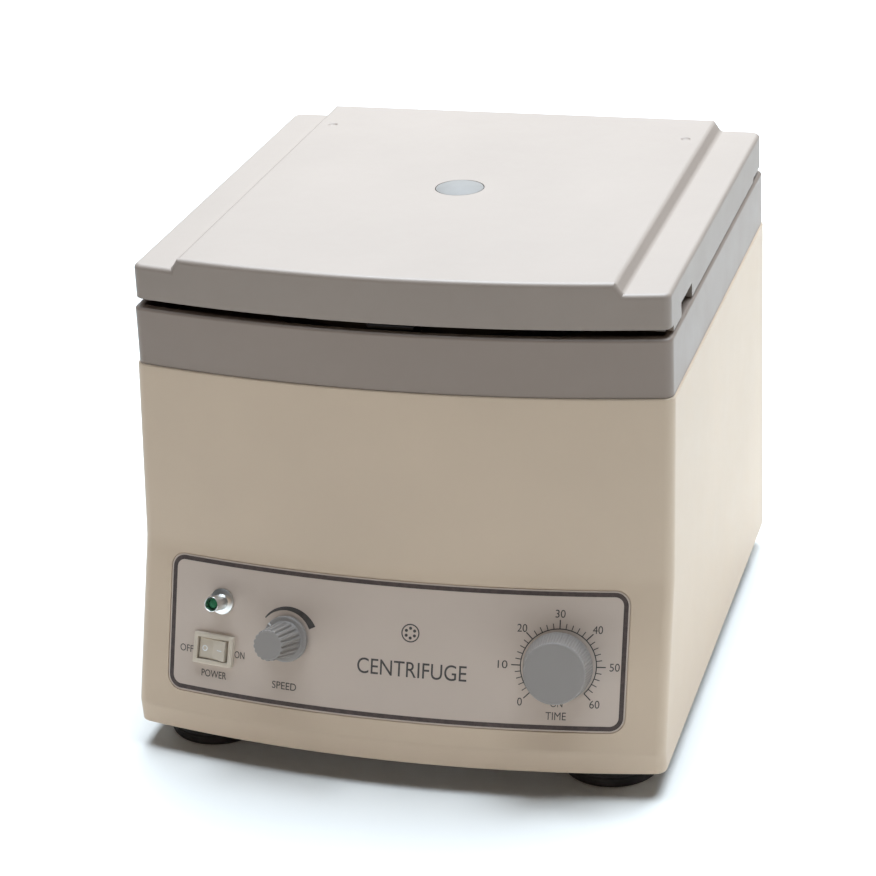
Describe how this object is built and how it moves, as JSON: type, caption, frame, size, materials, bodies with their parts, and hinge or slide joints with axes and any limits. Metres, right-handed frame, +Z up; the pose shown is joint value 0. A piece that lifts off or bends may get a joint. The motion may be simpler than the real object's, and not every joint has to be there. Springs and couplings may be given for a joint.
{
  "type": "laboratory centrifuge",
  "caption": "Tabletop laboratory centrifuge with a hinged lid over an angle rotor, a power rocker, and speed and timer knobs on a flared front panel.",
  "frame": {"origin": "on the bench plane under the rotor's axis, at the feet's undersides", "axes": "+Z up, -Y out of the front panel, +X to the right seen from the front"},
  "size_m": [0.26, 0.3136, 0.2449],
  "materials": {
    "lid_grey": "fine satin moulded texture",
    "housing_cream": "fine satin moulded texture",
    "panel_grey": "printed satin film",
    "knob_grey": "satin",
    "switch_cream": "gloss",
    "black_plastic": "satin",
    "rubber_black": "matt",
    "seal_rubber": "matt",
    "steel": "brushed",
    "zinc_steel": "zinc plated",
    "chrome_trim": "polished",
    "bowl_aluminium": "spun satin",
    "rotor_aluminium": "turned",
    "sleeve_plastic": "satin",
    "clear_window": "clear",
    "lamp_green": "tinted lens",
    "liner_white": "satin",
    "motor_paint": "satin paint",
    "copper_core": "lacquered copper",
    "board_green": "solder mask",
    "brass": "plated",
    "carbon": "graphite",
    "wire_blue": "pvc insulation",
    "capacitor_sleeve": "shrink sleeve"
  },
  "bodies": {
    "base": {"housing_shell": "housing_cream", "base_plate": "zinc_steel", "rubber_feet": "rubber_black", "foot_bolts": "zinc_steel", "top_deck": "lid_grey", "case_screws": "zinc_steel", "chamber_bowl": "bowl_aluminium", "shaft_grommet": "seal_rubber", "chamber_seal": "seal_rubber", "catch_magnet": "black_plastic", "hinge_base_leaves": "steel", "hinge_pins": "steel", "hinge_base_screws": "zinc_steel", "control_panel": "panel_grey", "indicator_bezel": "chrome_trim", "indicator_lens": "lamp_green", "control_nuts": "zinc_steel", "switch_frame": "switch_cream", "switch_terminals": "brass", "speed_potentiometer": "zinc_steel", "timer_mechanism": "black_plastic", "motor_plate": "steel", "vibration_dampers": "rubber_black", "damper_bolts": "zinc_steel", "motor_case": "motor_paint", "motor_lower_cap": "rotor_aluminium", "motor_upper_cap": "rotor_aluminium", "motor_bearings": "steel", "motor_stator": "copper_core", "carbon_brushes": "carbon", "brush_holders": "brass", "control_board": "board_green", "board_standoffs": "brass", "inner_screws": "zinc_steel", "heat_sink": "rotor_aluminium", "filter_capacitor": "capacitor_sleeve", "mains_transformer": "copper_core", "power_inlet": "black_plastic", "inlet_pins": "brass", "fuse_holder": "black_plastic", "fuse_cap": "black_plastic", "inner_wiring": "wire_blue"},
    "lid": {"lid_shell": "lid_grey", "lid_liner": "liner_white", "lid_window": "clear_window", "chamber_glass": "clear_window", "latch_plate": "zinc_steel", "hinge_lid_leaves": "steel", "hinge_lid_screws": "zinc_steel"},
    "rotor": {"motor_shaft": "steel", "motor_armature": "copper_core", "motor_commutator": "brass", "rotor_head": "rotor_aluminium", "tube_sleeves": "sleeve_plastic", "rotor_nut": "chrome_trim"},
    "power_rocker": {"switch_rocker": "switch_cream"},
    "speed_dial": {"speed_shaft": "steel", "speed_knob": "knob_grey"},
    "timer_dial": {"timer_shaft": "steel", "timer_knob": "knob_grey"}
  },
  "joints": [
    {"name": "lid_hinge", "type": "hinge", "parent": "base", "child": "lid", "pos_m": [0, 0.135, 0.2175], "axis": [-1, 0, 0], "range_deg": [0, 100]},
    {"name": "rotor_spin", "type": "hinge", "parent": "base", "child": "rotor", "pos_m": [0, 0, 0.1], "axis": [0, 0, 1], "continuous": true},
    {"name": "speed_knob_turn", "type": "hinge", "parent": "base", "child": "speed_dial", "pos_m": [-0.0515, -0.15004, 0.0645], "axis": [0.0802, 0.9469, -0.3115], "range_deg": [0, 270]},
    {"name": "timer_knob_turn", "type": "hinge", "parent": "base", "child": "timer_dial", "pos_m": [0.0798, -0.1478, 0.062], "axis": [-0.1243, 0.9426, -0.3101], "range_deg": [-45, 270]},
    {"name": "switch_rock", "type": "hinge", "parent": "base", "child": "power_rocker", "pos_m": [-0.08892, -0.14714, 0.05368], "axis": [0.0452, 0.3061, 0.9509], "range_deg": [0, 16]}
  ]
}
